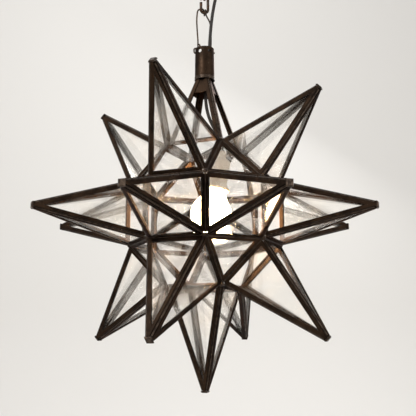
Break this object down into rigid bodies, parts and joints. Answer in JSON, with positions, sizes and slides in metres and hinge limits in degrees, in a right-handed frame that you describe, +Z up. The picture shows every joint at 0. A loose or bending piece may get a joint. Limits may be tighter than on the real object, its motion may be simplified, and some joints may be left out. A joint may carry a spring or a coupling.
{
  "type": "moravian star pendant",
  "caption": "Hanging star lantern: hollow glass points edged in dark tin channel round a lit bulb, hung by a tube, a wire bail and an open link from a ceiling hook and canopy.",
  "frame": {"origin": "centre of the ceiling plate's upper face, on the ceiling", "axes": "+Z up, away from the star; -Y towards the side the picture shows; +X to that side's right"},
  "size_m": [0.4684, 0.4684, 0.6641],
  "materials": {
    "tin": "aged tinplate, dark brown patina, satin",
    "pane_glass": "clear seedy glass, thin dust",
    "solder": "dull grey solder, dabbed on",
    "binding_wire": "dark annealed wire",
    "link_steel": "dark bent steel rod",
    "hook_steel": "dark bent steel rod",
    "plate_steel": "zinc-coated sheet",
    "canopy_paint": "dark bronze paint, satin",
    "gland_plastic": "black moulded",
    "flex_sheath": "black sheath, satin",
    "holder_plastic": "cream moulded",
    "contact_brass": "pressed",
    "bulb_cap_metal": "rolled thread",
    "bulb_glass": "pearl, lit"
  },
  "bodies": {
    "ceiling": {"ceiling_plate": "plate_steel", "ceiling_canopy": "canopy_paint", "ceiling_hook": "hook_steel", "hook_nut": "hook_steel", "flex_gland": "gland_plastic", "flex_upper": "flex_sheath"},
    "link": {"open_link": "link_steel", "flex_lower": "flex_sheath"},
    "bail": {"bail_wire": "binding_wire"},
    "star": {"equator_point_frame_1": "tin", "equator_point_frame_2": "tin", "equator_point_frame_3": "tin", "equator_point_frame_4": "tin", "equator_point_frame_5": "tin", "equator_point_frame_6": "tin", "equator_point_frame_7": "tin", "equator_point_frame_8": "tin", "upper_point_frame_1": "tin", "upper_point_frame_2": "tin", "upper_point_frame_3": "tin", "upper_point_frame_4": "tin", "lower_point_frame_1": "tin", "lower_point_frame_2": "tin", "lower_point_frame_3": "tin", "lower_point_frame_4": "tin", "bottom_point_frame": "tin", "upper_corner_frame": "tin", "lower_corner_frame": "tin", "cage_sills": "tin", "cage_legs": "tin", "cage_skirt": "tin", "hanger_tube": "tin", "equator_point_glass_1": "pane_glass", "equator_point_glass_2": "pane_glass", "equator_point_glass_3": "pane_glass", "equator_point_glass_4": "pane_glass", "equator_point_glass_5": "pane_glass", "equator_point_glass_6": "pane_glass", "equator_point_glass_7": "pane_glass", "equator_point_glass_8": "pane_glass", "upper_point_glass_1": "pane_glass", "upper_point_glass_2": "pane_glass", "upper_point_glass_3": "pane_glass", "upper_point_glass_4": "pane_glass", "lower_point_glass_1": "pane_glass", "lower_point_glass_2": "pane_glass", "lower_point_glass_3": "pane_glass", "lower_point_glass_4": "pane_glass", "bottom_point_glass": "pane_glass", "upper_corner_glass": "pane_glass", "lower_corner_glass": "pane_glass", "tip_solder": "solder", "tube_band": "solder", "flex_inner": "flex_sheath", "holder_body": "holder_plastic", "holder_cap": "holder_plastic", "holder_ring": "holder_plastic", "holder_contacts": "contact_brass"},
    "bulb": {"bulb_cap": "bulb_cap_metal", "bulb_glass": "bulb_glass"}
  },
  "joints": [
    {"name": "link_swing", "type": "hinge", "parent": "ceiling", "child": "link", "pos_m": [0, 0, -0.0628], "axis": [0, 1, 0], "range_deg": [-30, 30], "deforming": ["flex_upper"]},
    {"name": "bail_swing", "type": "hinge", "parent": "link", "child": "bail", "pos_m": [0, 0, -0.0869], "axis": [1, 0, 0], "range_deg": [-20, 20], "deforming": ["flex_lower"]},
    {"name": "star_swing", "type": "hinge", "parent": "bail", "child": "star", "pos_m": [0, 0, -0.1542], "axis": [1, 0, 0], "range_deg": [-25, 25], "deforming": ["flex_inner"]},
    {"name": "bulb_slide", "type": "slide", "parent": "star", "child": "bulb", "axis": [-0.1736, 0, -0.9848], "range_m": [0, 0.032]}
  ]
}
